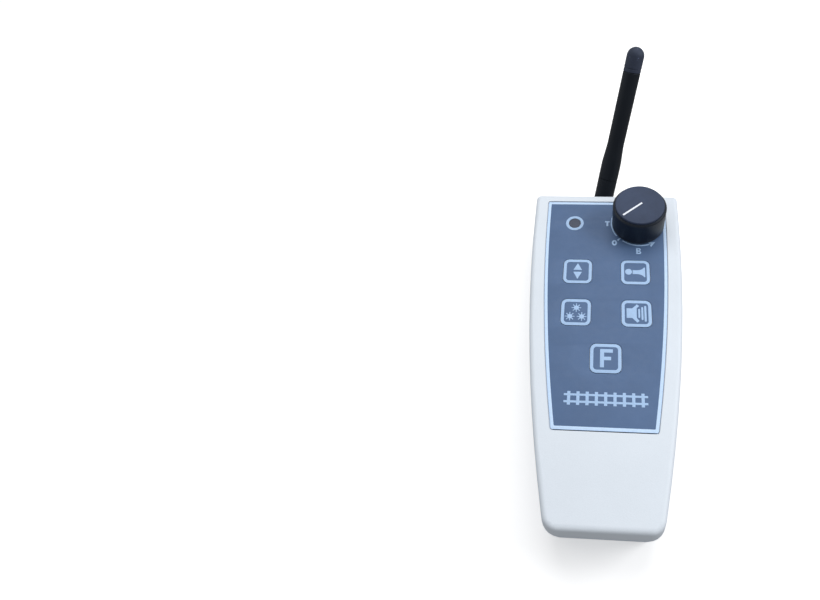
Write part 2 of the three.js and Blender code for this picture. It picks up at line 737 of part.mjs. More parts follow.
function antennaTip() {
  const { slimRadius: r, length } = WHIP;
  const start = WHIP_GROOVES_Y;
  const dome = arcPoints(0, length - r, r, 0, 90, 6).map((p) => [p.x, p.y]);
  const profile = [
    [0, start - 4],
    [3.2, start - 4],
    [3.2, start],
    [r, start],
    [r, start + 1.3],
    [r - 0.25, start + 1.45],
    [r - 0.25, start + 1.7],
    [r, start + 1.85],
    ...dome.slice(0, -1),
    [0, length],
  ];
  return whipTurned(profile, 24);
}

// The brass tube radiator inside the sheath.
const antennaRadiator = () => rod("y", [0, 0, 0], 2.2, [WHIP.seam + 6.4, WHIP_GROOVES_Y - 5], 12);

// ---- Screws ----------------------------------------------------------------------------------

function screw(x, y, headZ, [headRadius, headHeight], [shankRadius, shankLength]) {
  const head = post(x, y, headRadius, [headZ, headZ + headHeight], 16);
  const shank = post(x, y, shankRadius, [headZ + headHeight - 0.2, headZ + headHeight + shankLength], 10);
  const across = box([x - 0.35, x + 0.35], [y - 1.6, y + 1.6], [headZ - 1, headZ + 1]);
  const along = box([x - 1.6, x + 1.6], [y - 0.35, y + 0.35], [headZ - 1, headZ + 1]);
  return cut(joined(head, shank), across, along);
}

// ---- Assembly --------------------------------------------------------------------------------

const controller = new THREE.Group();

function add(name, shape, materialName, parent = controller) {
  const geometry = shape.isBufferGeometry ? shape : geometryOf(shape);
  const mesh = new THREE.Mesh(geometry, MATERIALS[materialName]);
  mesh.name = name;
  parent.add(mesh);
  return mesh;
}

add("front_shell", frontShell(), "case");
add("rear_shell", rearShell(), "case");
add("battery_cover", batteryCover(), "case");
add("end_panel", endPanel(), "case");

add("overlay", overlay(), "film");
add("light_window", post(...LIGHT, WINDOW_RADIUS, [RECESS_Z, OVERLAY_TOP_Z], 24), "smoke");
for (const [name, at] of Object.entries(KEYS)) {
  add(`key_${name}`, key(at), "key");
  add(`switch_${name}`, tactileSwitch(at), "chip");
  add(`plunger_${name}`, plunger(at), "black");
}

add("knob_body", knobBody(), "black");
add("knob_cap", knobCap(), "cap");
add("pointer_line", pointerLine(), "print");
add("knob_collet", knobCollet(), "brass");
add("collet_nut", colletNut(), "steel");
add("pot_shaft", potShaft(), "steel");
add("pot_body", potBody(), "steel");
add("pot_bushing", potBushing(), "brass");
add("pot_washer", washer(5.8, [OVERLAY_TOP_Z, OVERLAY_TOP_Z + 0.5], 20), "steel");
add("pot_nut", washer(5.6, [OVERLAY_TOP_Z + 0.6, OVERLAY_TOP_Z + 2.6], 6), "steel");

add("circuit_board", circuitBoard(), "board");
add("radio_module", radioModule(), "steel");
add("controller_chip", box([-5, 5], [8, 18], [BOARD.lowZ - 1.5, BOARD.lowZ - 0.1]), "chip");
add("status_lamp", lamp(), "lamp");
add("coax_pigtail", coaxPigtail(), "black");

add("battery_1", cell(-CELL.x, BAY.topY - 0.6, false), "cell");
add("battery_2", cell(CELL.x, BAY.lowY + 0.6, true), "cell");
add("bridge_contact", bridgeContact(), "steel");
add("negative_contact", negativeContact(), "steel");
add("positive_contact", positiveContact(), "steel");
for (const lead of BATTERY_LEADS) add(lead.name, batteryLead(lead), lead.material);

CASE_SCREWS.forEach(([x, y], i) =>
  add(`case_screw_${i + 1}`, screw(x, y, 1.1, [2.3, 2], [1.4, 22]), "steel"),
);
BOARD_SCREWS.forEach(([x, y], i) =>
  add(`board_screw_${i + 1}`, screw(x, y, BOARD.lowZ - 1.8, [2.2, 1.7], [1.05, 7]), "steel"),
);

add("antenna_socket", antennaSocket(), "brass");
add("socket_washer", sleeve(4.8, 3.35, [78.8, 79.3], 20), "steel");
add("socket_nut", sleeve(4.6, 3.35, [79.5, 81.3], 6), "brass");
add("antenna_nut", sleeve(4.8, 3.4, [81.6, 87.2], 20), "brass");

const swivel = new THREE.Group();
swivel.position.set(ANTENNA_X, PIN_Y, ANTENNA_Z);
swivel.rotation.y = SWIVEL;
controller.add(swivel);
add("antenna_base", antennaBase(), "black", swivel);

const whip = new THREE.Group();
whip.rotation.x = TILT;
swivel.add(whip);
add("antenna_knuckle", antennaKnuckle(), "black", whip);
add("hinge_pin", hingePin(), "steel", whip);
add("antenna_sheath", antennaSheath(), "black", whip);
add("antenna_tip", antennaTip(), "black", whip);
add("antenna_radiator", antennaRadiator(), "brass", whip);

export default controller;
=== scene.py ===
import json
import math

import bmesh
import bpy
from mathutils import Matrix, Vector


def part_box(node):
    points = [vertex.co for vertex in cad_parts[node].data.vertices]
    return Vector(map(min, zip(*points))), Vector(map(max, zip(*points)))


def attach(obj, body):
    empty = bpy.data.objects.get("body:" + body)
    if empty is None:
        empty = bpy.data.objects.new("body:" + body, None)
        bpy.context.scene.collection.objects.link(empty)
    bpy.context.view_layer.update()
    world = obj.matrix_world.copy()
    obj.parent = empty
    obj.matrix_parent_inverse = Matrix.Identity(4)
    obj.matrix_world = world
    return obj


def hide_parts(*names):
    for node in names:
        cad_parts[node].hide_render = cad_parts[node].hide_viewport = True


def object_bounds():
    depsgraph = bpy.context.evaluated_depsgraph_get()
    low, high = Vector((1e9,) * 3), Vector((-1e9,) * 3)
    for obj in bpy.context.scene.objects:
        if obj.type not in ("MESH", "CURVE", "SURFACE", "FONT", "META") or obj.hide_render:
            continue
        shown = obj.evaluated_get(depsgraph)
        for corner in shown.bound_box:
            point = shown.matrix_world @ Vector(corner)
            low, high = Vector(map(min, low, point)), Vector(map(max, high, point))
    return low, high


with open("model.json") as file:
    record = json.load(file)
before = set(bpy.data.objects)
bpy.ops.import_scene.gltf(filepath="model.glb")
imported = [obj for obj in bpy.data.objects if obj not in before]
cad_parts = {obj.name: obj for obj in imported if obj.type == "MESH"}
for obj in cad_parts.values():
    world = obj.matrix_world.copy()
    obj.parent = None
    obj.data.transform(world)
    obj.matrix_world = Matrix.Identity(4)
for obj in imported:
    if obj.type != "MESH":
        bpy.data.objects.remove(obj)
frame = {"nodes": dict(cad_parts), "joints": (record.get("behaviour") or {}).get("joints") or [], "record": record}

CAD_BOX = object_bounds()
MM = 0.001
SCENE = bpy.context.scene
NODES = frame["nodes"]
KEYS = ("direction", "horn", "lights", "sound", "function")


# ---- Camera ----------------------------------------------------------------------------------

CAMERA_PLACE = Vector((-3.172, -120.025, 266.588)) * MM
CAMERA_RIGHT = Vector((0.99717356, 0.05636028, -0.04968302))
CAMERA_UP = Vector((-0.0169527, 0.81300187, 0.58201423))
CAMERA_BACK = Vector((0.07319487, -0.57952695, 0.81165943))
CAMERA_LENS = 23.8625  # mm, for a sensor 36 mm wide
CAMERA_SHIFT = (-0.1829, -0.0610)


def make_camera():
    data = bpy.data.cameras.new("camera")
    camera = bpy.data.objects.new("camera", data)
    SCENE.collection.objects.link(camera)
    turn = Matrix((CAMERA_RIGHT, CAMERA_UP, CAMERA_BACK)).transposed().to_4x4()
    camera.matrix_world = Matrix.Translation(CAMERA_PLACE) @ turn
    data.sensor_width = 36
    data.lens = CAMERA_LENS
    data.shift_x, data.shift_y = CAMERA_SHIFT
    data.clip_start, data.clip_end = 0.01, 20
    SCENE.camera = camera


make_camera()


# ---- Shader helpers --------------------------------------------------------------------------

class Shader:
    """One procedural material, with short names for the nodes it uses."""

    def __init__(self, name, rough=0.5, metallic=0.0):
        self.material = bpy.data.materials.new(name)
        self.material.use_nodes = True
        self.tree = self.material.node_tree
        self.bsdf = self.tree.nodes["Principled BSDF"]
        self.bsdf.inputs["Roughness"].default_value = rough
        self.bsdf.inputs["Metallic"].default_value = metallic
        self.coords = self.node("ShaderNodeTexCoord").outputs["Object"]

    def node(self, kind, **settings):
        made = self.tree.nodes.new(kind)
        for key, value in settings.items():
            setattr(made, key, value)
        return made

    def link(self, source, target):
        self.tree.links.new(source, target)

    def noise(self, scale, detail=3.0, roughness=0.5, stretch=None):
        """Noise with about `scale` cells to the metre, as a 0-1 output."""
        made = self.node("ShaderNodeTexNoise")
        made.inputs["Scale"].default_value = scale
        made.inputs["Detail"].default_value = detail
        made.inputs["Roughness"].default_value = roughness
        self.link(self.stretched(stretch), made.inputs["Vector"])
        return made.outputs["Fac"]

    def cells(self, scale):
        """The distance to the nearest point of a scattered pattern."""
        made = self.node("ShaderNodeTexVoronoi")
        made.inputs["Scale"].default_value = scale
        self.link(self.coords, made.inputs["Vector"])
        return made.outputs["Distance"]

    def stretched(self, stretch):
        if stretch is None:
            return self.coords
        mapping = self.node("ShaderNodeMapping")
        mapping.inputs["Scale"].default_value = stretch
        self.link(self.coords, mapping.inputs["Vector"])
        return mapping.outputs["Vector"]

    def ramp(self, fac, stops):
        """Colours or grey levels at places along a 0-1 value."""
        made = self.node("ShaderNodeValToRGB")
        elements = made.color_ramp.elements
        while len(elements) < len(stops):
            elements.new(0.5)
        for element, (place, colour) in zip(elements, stops):
            element.position = place
            element.color = (*colour, 1)
        self.link(fac, made.inputs["Fac"])
        return made.outputs["Color"]

    def levels(self, fac, low, high, to_low=0.0, to_high=1.0):
        """A value between low and high, spread over the second pair of numbers."""
        made = self.node("ShaderNodeMapRange")
        for key, value in (("From Min", low), ("From Max", high), ("To Min", to_low), ("To Max", to_high)):
            made.inputs[key].default_value = value
        self.link(fac, made.inputs["Value"])
        return made.outputs["Result"]

    def mix(self, a, b, fac, mode="MIX"):
        """Colours a and b, each an output or a constant, mixed by fac."""
        made = self.node("ShaderNodeMix", data_type="RGBA", blend_type=mode)
        for socket, value in ((made.inputs[6], a), (made.inputs[7], b)):
            if isinstance(value, tuple):
                socket.default_value = (*value, 1)
            else:
                self.link(value, socket)
        if isinstance(fac, float):
            made.inputs[0].default_value = fac
        else:
            self.link(fac, made.inputs[0])
        return made.outputs[2]

    def speckled(self, tone, fac, dark, low=0.3, high=0.7):
        """The tone, darkened where a 0-1 value is low."""
        return self.mix(tone, self.ramp(fac, [(low, dark), (high, (1, 1, 1))]), 1.0, "MULTIPLY")

    def times(self, source, amount):
        made = self.node("ShaderNodeMath", operation="MULTIPLY")
        self.link(source, made.inputs[0])
        made.inputs[1].default_value = amount
        return made.outputs[0]

    def colour(self, source):
        self.link(source, self.bsdf.inputs["Base Color"])

    def roughness(self, source):
        self.link(source, self.bsdf.inputs["Roughness"])

    def specular(self, level):
        self.bsdf.inputs["Specular IOR Level"].default_value = level

    def bump(self, *layers):
        """Stacks (height output, height in mm) layers into the normal."""
        normal = None
        for height, depth in layers:
            made = self.node("ShaderNodeBump")
            made.inputs["Distance"].default_value = depth * MM
            made.inputs["Strength"].default_value = 1.0
            self.link(height, made.inputs["Height"])
            if normal is not None:
                self.link(normal, made.inputs["Normal"])
            normal = made.outputs["Normal"]
        self.link(normal, self.bsdf.inputs["Normal"])


def srgb(red, green, blue):
    """A colour given as 0-255 values, as scene-linear."""
    def linear(value):
        value /= 255
        return value / 12.92 if value <= 0.04045 else ((value + 0.055) / 1.055) ** 2.4
    return linear(red), linear(green), linear(blue)


def shade(colour, factor):
    """The colour made lighter or darker by a factor."""
    return tuple(min(1.0, channel * factor) for channel in colour)


# ---- Materials -------------------------------------------------------------------------------

CASE = srgb(222, 230, 239)
FILM = srgb(82, 108, 146)
PRINT = srgb(165, 196, 233)
BLACK = srgb(13, 16, 23)
CAP = srgb(52, 62, 87)


def case_plastic():
    """Off-white moulding: a fine spark-eroded grain, faint clouding and a few handling marks."""
    s = Shader("case_plastic")
    clouds = s.noise(28, 4, 0.6)
    tone = s.ramp(clouds, [(0.3, shade(CASE, 0.965)), (0.62, CASE), (0.8, shade(CASE, 1.015))])
    grain = s.noise(2600, 2, 0.6)
    tone = s.speckled(tone, grain, (0.955, 0.958, 0.962), high=0.62)
    marks = s.levels(s.noise(95, 5, 0.72, (1.0, 0.45, 1.0)), 0.66, 0.78)
    tone = s.mix(tone, shade(CASE, 0.86), s.times(marks, 0.55))
    s.colour(tone)
    s.roughness(s.levels(grain, 0.3, 0.7, 0.44, 0.6))
    s.bump((s.noise(1700, 3, 0.65), 0.035), (s.noise(260, 2, 0.5), 0.03))
    return s.material


def film(name, base, cloud_scale):
    """Printed polyester film with a satin, faintly pebbled surface."""
    s = Shader(name)
    ink = s.noise(cloud_scale, 4, 0.6)
    tone = s.ramp(ink, [(0.32, shade(base, 0.94)), (0.7, shade(base, 1.05))])
    grain = s.noise(3400, 2, 0.7)
    tone = s.speckled(tone, grain, (0.9, 0.91, 0.92))
    s.colour(tone)
    s.roughness(s.levels(s.noise(420, 3, 0.6), 0.3, 0.7, 0.46, 0.58))
    s.bump((s.cells(1900), 0.008), (grain, 0.008))
    s.specular(0.35)
    return s.material


def pale_ink(name, base):
    """Screen-printed ink, a little uneven, with a fine tooth."""
    s = Shader(name)
    body = s.noise(700, 4, 0.65)
    tone = s.ramp(body, [(0.25, shade(base, 0.9)), (0.6, base), (0.8, shade(base, 1.05))])
    s.colour(tone)
    s.roughness(s.levels(body, 0.3, 0.7, 0.42, 0.58))
    s.bump((s.noise(2600, 2, 0.6), 0.012))
    return s.material


def black_moulding(name, base, grain_scale, rough, dust, sheen=0.42):
    """Dark moulding with a fine grain and a little dust caught in it."""
    s = Shader(name)
    grain = s.noise(grain_scale, 3, 0.6)
    tone = s.ramp(s.noise(70, 4, 0.6), [(0.3, shade(base, 0.82)), (0.72, shade(base, 1.2))])
    tone = s.speckled(tone, grain, (0.8, 0.8, 0.8), low=0.35)
    specks = s.levels(s.noise(900, 2, 0.5), dust, dust + 0.03)
    tone = s.mix(tone, shade(base, 4.5), s.times(specks, 0.6))
    s.colour(tone)
    s.roughness(s.levels(grain, 0.3, 0.7, rough - 0.07, rough + 0.08))
    s.specular(sheen)
    s.bsdf.inputs["Specular Tint"].default_value = (0.74, 0.86, 1.0, 1)
    s.bump((grain, 0.02), (s.noise(grain_scale * 0.18, 2, 0.5), 0.03))
    return s.material


def metal(name, base, rough, stretch):
    """Turned or rolled metal with fine tool lines, dulled in patches."""
    s = Shader(name, metallic=1.0)
    lines = s.noise(900, 3, 0.7, stretch)
    dull = s.noise(150, 4, 0.6)
    tone = s.ramp(dull, [(0.3, shade(base, 0.72)), (0.65, base)])
    tone = s.speckled(tone, lines, (0.85, 0.85, 0.85), high=0.65)
    s.colour(tone)
    s.roughness(s.levels(dull, 0.3, 0.7, rough + 0.14, rough - 0.05))
    s.bump((lines, 0.012))
    return s.material


def smoked_window():
    """Smoke-tinted acrylic with faint moulding swirl."""
    s = Shader("smoked_window")
    swirl = s.noise(240, 3, 0.6)
    s.colour(s.ramp(swirl, [(0.3, srgb(60, 66, 84)), (0.7, srgb(70, 77, 95))]))
    s.roughness(s.levels(swirl, 0.3, 0.7, 0.36, 0.46))
    s.specular(0.3)
    s.bump((swirl, 0.02))
    return s.material


def plain(name, base, rough, scale):
    """Moulded or coated material with tone, gloss and surface varying at one scale."""
    s = Shader(name)
    body = s.noise(scale, 4, 0.6)
    s.colour(s.ramp(body, [(0.3, shade(base, 0.86)), (0.7, shade(base, 1.14))]))
    s.roughness(s.levels(body, 0.3, 0.7, rough - 0.08, rough + 0.1))
    s.bump((s.noise(scale * 4, 3, 0.6), 0.02))
    return s.material


def board_mask():
    """Green solder mask with the copper tracks showing through as lighter lines."""
    s = Shader("board_mask", rough=0.35)
    tracks = s.node("ShaderNodeTexBrick", offset=0.37, squash=1.6)
    tracks.inputs["Scale"].default_value = 190
    tracks.inputs["Mortar Size"].default_value = 0.06
    s.link(s.coords, tracks.inputs["Vector"])
    green = s.ramp(tracks.outputs["Fac"], [(0.2, srgb(26, 92, 52)), (0.6, srgb(52, 128, 74))])
    s.colour(s.speckled(green, s.noise(400), (0.85, 0.85, 0.85)))
    s.bump((tracks.outputs["Fac"], 0.03))
    return s.material


def cell_wrap():
    """Printed battery sleeve in two bands, with a slightly wavy shrink."""
    s = Shader("cell_wrap")
    split = s.node("ShaderNodeSeparateXYZ")
    s.link(s.coords, split.inputs[0])
    band = s.levels(split.outputs["Y"], -0.052, -0.0505)  # the bands meet here, in metres
    tone = s.mix(srgb(44, 110, 142), srgb(206, 170, 88), band)
    s.colour(s.speckled(tone, s.noise(300), (0.88, 0.88, 0.88)))
    s.roughness(s.levels(s.noise(120), 0.3, 0.7, 0.22, 0.4))
    s.bump((s.noise(260, 3, 0.6), 0.05))
    return s.material


LOOKS = {
    "case": case_plastic(),
    "film": film("film_blue", FILM, 60),
    "key": film("key_film_blue", shade(FILM, 1.02), 67),
    "black": black_moulding("black_moulding", BLACK, 2200, 0.5, 0.74, 0.32),
    "rubber": black_moulding("soft_tip", srgb(50, 56, 74), 1800, 0.62, 0.7, 0.4),
    "knob": black_moulding("knob_moulding", srgb(13, 17, 29), 2600, 0.4, 0.8),
    "cap": black_moulding("cap_moulding", CAP, 2400, 0.6, 0.8, 0.5),
    "pointer": pale_ink("pointer_ink", srgb(236, 241, 250)),
    "print": pale_ink("print_ink", PRINT),
    "border": pale_ink("border_ink", srgb(198, 224, 254)),
    "smoke": smoked_window(),
    "lamp": plain("lamp_lens", srgb(166, 212, 168), 0.25, 200),
    "brass": metal("brass_turned", srgb(206, 172, 96), 0.3, (1, 14, 1)),
    "steel": metal("steel_plated", srgb(196, 200, 205), 0.32, (1, 1, 10)),
    "board": board_mask(),
    "chip": plain("chip_moulding", srgb(44, 45, 50), 0.6, 900),
    "cell": cell_wrap(),
    "red": plain("red_insulation", srgb(170, 34, 34), 0.45, 500),
}


# ---- Carried-over CAD nodes ------------------------------------------------------------------

def smooth_group(angle):
    """Geometry nodes that weld a mesh and shade it smooth except across edges over the angle."""
    group = bpy.data.node_groups.new(f"smooth_{angle}", "GeometryNodeTree")
    group.interface.new_socket("Geometry", in_out="INPUT", socket_type="NodeSocketGeometry")
    group.interface.new_socket("Geometry", in_out="OUTPUT", socket_type="NodeSocketGeometry")
    nodes, links = group.nodes, group.links
    start, end = nodes.new("NodeGroupInput"), nodes.new("NodeGroupOutput")
    weld = nodes.new("GeometryNodeMergeByDistance")
    weld.inputs["Distance"].default_value = 0.0005 * MM
    edge = nodes.new("GeometryNodeInputMeshEdgeAngle")
    sharp = nodes.new("FunctionNodeCompare")
    sharp.operation = "GREATER_THAN"
    sharp.inputs[1].default_value = math.radians(angle)
    smooth = nodes.new("GeometryNodeSetShadeSmooth")
    crease = nodes.new("GeometryNodeSetShadeSmooth")
    crease.domain = "EDGE"
    crease.inputs["Shade Smooth"].default_value = False
    links.new(start.outputs[0], weld.inputs["Geometry"])
    links.new(weld.outputs["Geometry"], smooth.inputs["Geometry"])
    links.new(smooth.outputs["Geometry"], crease.inputs["Geometry"])
    links.new(edge.outputs["Unsigned Angle"], sharp.inputs[0])
    links.new(sharp.outputs[0], crease.inputs["Selection"])
    links.new(crease.outputs["Geometry"], end.inputs[0])
    return group


CREASE_ANGLE = 32  # edges sharper than this stay sharp, in degrees
SMOOTH = smooth_group(CREASE_ANGLE)
OWN_LOOKS = {"pointer_line": "pointer", "antenna_tip": "rubber"}  # the other nodes take their slot's look


def dress_cad_nodes():
    slots = {row["node"]: row["material_slot"] for row in frame["record"]["subparts"]}
    for name, node in NODES.items():
        node.data.materials.clear()
        node.data.materials.append(LOOKS[OWN_LOOKS.get(name, slots[name])])
        node.modifiers.new("smooth", "NODES").node_group = SMOOTH
        weighted = node.modifiers.new("weighted", "WEIGHTED_NORMAL")
        weighted.keep_sharp = True
        weighted.weight = 80


dress_cad_nodes()


# ---- Mesh helpers ----------------------------------------------------------------------------

def finished(name, mesh, look, body, stands_for=()):
    """Links a mesh as a piece that rides on a body and takes one of the looks as its finish."""
    mesh.materials.clear()
    mesh.materials.append(LOOKS[look])
    mesh.polygons.foreach_set("use_smooth", [True] * len(mesh.polygons))
    mesh.set_sharp_from_angle(angle=math.radians(CREASE_ANGLE))
    piece = bpy.data.objects.new(name, mesh)
    SCENE.collection.objects.link(piece)
    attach(piece, body)
    if stands_for:
        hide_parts(*stands_for)


def plate_mesh(name, loops, low, high, edge):
    """A flat plate in mm between two heights: closed loops, inner ones cut holes, edges rounded."""
    curve = bpy.data.curves.new(name, "CURVE")
    curve.dimensions = "2D"
    curve.fill_mode = "BOTH"
    for loop in loops:
        spline = curve.splines.new("POLY")
        spline.points.add(len(loop) - 1)
        for point, (x, y) in zip(spline.points, loop):
            point.co = (x * MM, y * MM, 0, 1)
        spline.use_cyclic_u = True
    curve.extrude = ((high - low) / 2 - edge) * MM
    curve.bevel_depth = edge * MM
    curve.bevel_resolution = 2
    curve.offset = -edge * MM
    holder = bpy.data.objects.new(name + "_outline", curve)
    SCENE.collection.objects.link(holder)
    bpy.context.view_layer.update()
    depsgraph = bpy.context.evaluated_depsgraph_get()
    mesh = bpy.data.meshes.new_from_object(holder.evaluated_get(depsgraph))
    bpy.data.objects.remove(holder)
    mesh.transform(Matrix.Translation((0, 0, (low + high) / 2 * MM)))
    closed_up(mesh)
    return mesh


def closed_up(mesh):
    """Welds the parts of a mesh into one closed surface, with its faces turned outwards."""
    body = bmesh.new()
    body.from_mesh(mesh)
    bmesh.ops.remove_doubles(body, verts=body.verts, dist=0.002 * MM)
    bmesh.ops.recalc_face_normals(body, faces=body.faces)
    body.to_mesh(mesh)
    body.free()


def plate(name, loops, low, high, look, body, edge, stands_for=()):
    finished(name, plate_mesh(name, loops, low, high, edge), look, body, stands_for)


def lathe_mesh(name, profile, sides):
    """A profile of (radius, height) points in mm, closed on itself or on the axis, turned about Z."""
    body = bmesh.new()
    rings = []
    for radius, height in profile:
        if radius < 1e-6:
            rings.append([body.verts.new((0, 0, height * MM))])
            continue
        rings.append([
            body.verts.new((
                radius * MM * math.cos(2 * math.pi * i / sides),
                radius * MM * math.sin(2 * math.pi * i / sides),
                height * MM,
            ))
            for i in range(sides)
        ])
    pairs = list(zip(rings, rings[1:]))
    if len(rings[0]) > 1:
        pairs.append((rings[-1], rings[0]))
    for lower, upper in pairs:
        for i in range(sides):
            j = (i + 1) % sides
            corners = [lower[i % len(lower)], lower[j % len(lower)]]
            corners += [upper[j % len(upper)], upper[i % len(upper)]]
            unique = list(dict.fromkeys(corners))
            if len(unique) > 2:
                body.faces.new(unique)
    bmesh.ops.recalc_face_normals(body, faces=body.faces)
    mesh = bpy.data.meshes.new(name)
    body.to_mesh(mesh)
    body.free()
    return mesh


def arc(cx, cy, radius, start, end, count):
    """Points along an arc, angles in degrees."""
    steps = [math.radians(start + (end - start) * i / count) for i in range(count + 1)]
    return [(cx + radius * math.cos(a), cy + radius * math.sin(a)) for a in steps]


def circle(cx, cy, radius, count=64):
    return arc(cx, cy, radius, 0, 360, count)[:-1]


def rounded_square(cx, cy, half, corner):
    points = []
    for sx, sy, start in ((1, 1, 0), (-1, 1, 90), (-1, -1, 180), (1, -1, 270)):
        points += arc(cx + sx * (half - corner), cy + sy * (half - corner), corner, start, start + 90, 8)
    return points


def bar(x0, x1, y0, y1):
    return [(x0, y0), (x1, y0), (x1, y1), (x0, y1)]


def box_centre(node):
    """The middle of a CAD node's box, in mm."""
    low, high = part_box(node)
    return (low + high) / 2 / MM


# ---- Keypad film -----------------------------------------------------------------------------

FILM_LOW, FILM_HIGH = (corner.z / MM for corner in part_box("overlay"))
FILM_START, FILM_END = (corner.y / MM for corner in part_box("overlay"))
FILM_CORNER = 0.95
FILM_EDGE = 0.06  # rounding of the film's cut edges
INK_LOW, INK_HIGH = FILM_HIGH - 0.02, FILM_HIGH + 0.05  # the ink is sunk a little into the film
KEY_HALF = 7.3
KEY_CORNER = 3.0
LENS_HOLE, SHAFT_HOLE = 3.3, 3.9  # radii
KNOB = box_centre("knob_cap")
LIGHT = box_centre("light_window")


def key_centre(key):
    low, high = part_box(f"key_{key}")
    return (low.x + high.x) / 2 / MM, (low.y + high.y) / 2 / MM


CASE_HALF = 40.1
TAPER = {"from_y": 75, "length": 154, "depth": 14.5, "power": 2.18}  # how the case narrows to the grip
MARGIN = 7.4  # from the case's side to the film's recess, at the knob end
MARGIN_GROWTH = 0.55  # how much wider the margin gets towards the grip
RECESS_GAP = 0.35  # between the recess's edge and the film


def film_half_width(y):
    """The film's half width in mm: the case's taper, drawn in by the margin round the recess."""
    along = max(0.0, TAPER["from_y"] - y) / TAPER["length"]
    case_half = CASE_HALF - TAPER["depth"] * along ** TAPER["power"]
    return case_half - MARGIN - MARGIN_GROWTH * along - RECESS_GAP


def printed(name, loops, body="case", look="print"):
    """Ink on the film or on a key square."""
    plate(f"print_{name}", loops, INK_LOW, INK_HIGH, look, body, 0.01)


def placed(loop, x, y, scale=1.0):
    return [(x + px * scale, y + py * scale) for px, py in loop]


def film_outline(inset, corner):
    """The film's outline drawn in by the inset, with rounded corners."""
    low, high = FILM_START + 0.1 + inset, FILM_END - inset
    count = 40
    right = []
    for i in range(count + 1):
        y = low + corner + (high - low - 2 * corner) * i / count
        right.append((film_half_width(y) - inset, y))
    foot = arc(right[0][0] - corner, low + corner, corner, -90, -6, 6)
    head = arc(right[-1][0] - corner, high - corner, corner, 0, 90, 6)
    right = foot + right[1:-1] + head
    return right + [(-x, y) for x, y in reversed(right)]


def build_film():
    """The film with its holes, a dark strip as painted shadow in the gap under its lower edge, its border and
    light ring, and the key squares with their print.
    """
    key_hole, key_hole_corner = KEY_HALF + 0.22, KEY_CORNER + 0.2
    loops = [film_outline(0, FILM_CORNER)]
    loops += [rounded_square(*key_centre(key), key_hole, key_hole_corner) for key in KEYS]
    loops += [circle(LIGHT.x, LIGHT.y, LENS_HOLE), circle(KNOB.x, KNOB.y, SHAFT_HOLE)]
    plate("keypad_film", loops, FILM_LOW, FILM_HIGH, "film", "case", FILM_EDGE, ["overlay"])
    # Painted shadow: a dark strip under the film's lower edge stands in for the shade in the gap between the film
    # and the recess wall.
    foot_half = film_half_width(FILM_START) - 1.0
    gap_shadow = [bar(-foot_half, foot_half, FILM_START - 0.4, FILM_START + 0.08)]
    plate("film_gap_shadow", gap_shadow, FILM_LOW + 0.02, FILM_LOW + 0.16, "black", "case", 0.03)
    printed("border", [film_outline(0.1, 0.9), film_outline(1.6, 0.3)], look="border")
    printed("light_ring", [circle(LIGHT.x, LIGHT.y, 4.84), circle(LIGHT.x, LIGHT.y, LENS_HOLE + 0.02)])
    for key in KEYS:
        x, y = key_centre(key)
        body = f"{key}_key"
        zone = [rounded_square(x, y, KEY_HALF, KEY_CORNER)]
        stands_for = [f"key_{key}"]
        plate(f"key_zone_{key}", zone, FILM_LOW, FILM_HIGH, "key", body, FILM_EDGE, stands_for)
        outline = [
            rounded_square(x, y, KEY_HALF - 0.06, KEY_CORNER - 0.05),
            rounded_square(x, y, KEY_HALF - 1.6, KEY_CORNER - 1.5),
        ]
        printed(f"outline_{key}", outline, body)
        for i, loop in enumerate(ICONS[key]):
            printed(f"{key}_{i + 1}", [placed(loop, x, y)], body)


def burst(cx, cy, disc=1.22, reach=2.35, half_ray=0.19, rays=8):
    """A lamp burst: a disc with short straight rays, as one outline round a point."""
    points = []
    foot = math.sqrt(disc * disc - half_ray * half_ray)
    for i in range(rays):
        a = 2 * math.pi * i / rays
        tip = half_ray * 1.15
        for along, across in ((foot, -half_ray), (reach, -tip), (reach, tip), (foot, half_ray)):
            x = cx + along * math.cos(a) - across * math.sin(a)
            y = cy + along * math.sin(a) + across * math.cos(a)
            points.append((x, y))
        rim = a + math.pi / rays
        points.append((cx + disc * math.cos(rim), cy + disc * math.sin(rim)))
    return points


def wave(x0, x1, y0, y1):
    """An upright bar with round ends."""
    x, r = (x0 + x1) / 2, (x1 - x0) / 2
    return arc(x, y1 - r, r, 0, 180, 8) + arc(x, y0 + r, r, 180, 360, 8)


def horn_bell():
    """The horn's tube flaring into its bell, in the key's own frame."""
    upper = [(-1.4, 1.15), (0.6, 1.15), (2.0, 1.3), (3.1, 1.7), (3.9, 2.25), (4.4, 2.85), (4.95, 2.95)]
    return [(x, y + 0.1) for x, y in upper] + [(x, -y + 0.1) for x, y in reversed(upper)]


ICONS = {
    "direction": [
        [(-2.2, 0.85), (2.2, 0.85), (0.0, 5.0)],
        [(-2.2, -0.35), (0.0, -4.7), (2.2, -0.35)],
    ],
    "horn": [circle(-3.45, 0.25, 1.75, 40), horn_bell()],
    "lights": [burst(0.18, 2.45), burst(-2.9, -2.4), burst(2.92, -2.4)],
    "sound": [
        [(-4.8, 2.8), (-2.1, 2.8), (0.3, 5.1), (1.3, 4.2), (0.1, 2.85), (0.1, -2.5),
         (1.35, -4.0), (0.35, -5.0), (-2.1, -2.5), (-4.8, -2.5)],
        wave(0.85, 1.75, -2.4, 2.6),
        wave(2.35, 3.3, -3.5, 3.65),
        wave(3.8, 4.8, -4.35, 4.35),
    ],
    "function": [
        [(-2.6, -4.5), (-0.75, -4.5), (-0.75, -0.95), (2.5, -0.95), (2.5, 0.8), (-0.75, 0.8),
         (-0.75, 2.85), (3.3, 2.85), (3.3, 4.6), (-2.6, 4.6)],
    ],
}

build_film()


# ---- Dial and track motif --------------------------------------------------------------------

def band(cx, cy, radius, width, start, end):
    """A strip along an arc, with a width in mm."""
    outer = arc(cx, cy, radius + width / 2, start, end, 40)
    inner = arc(cx, cy, radius - width / 2, end, start, 40)
    return outer + inner


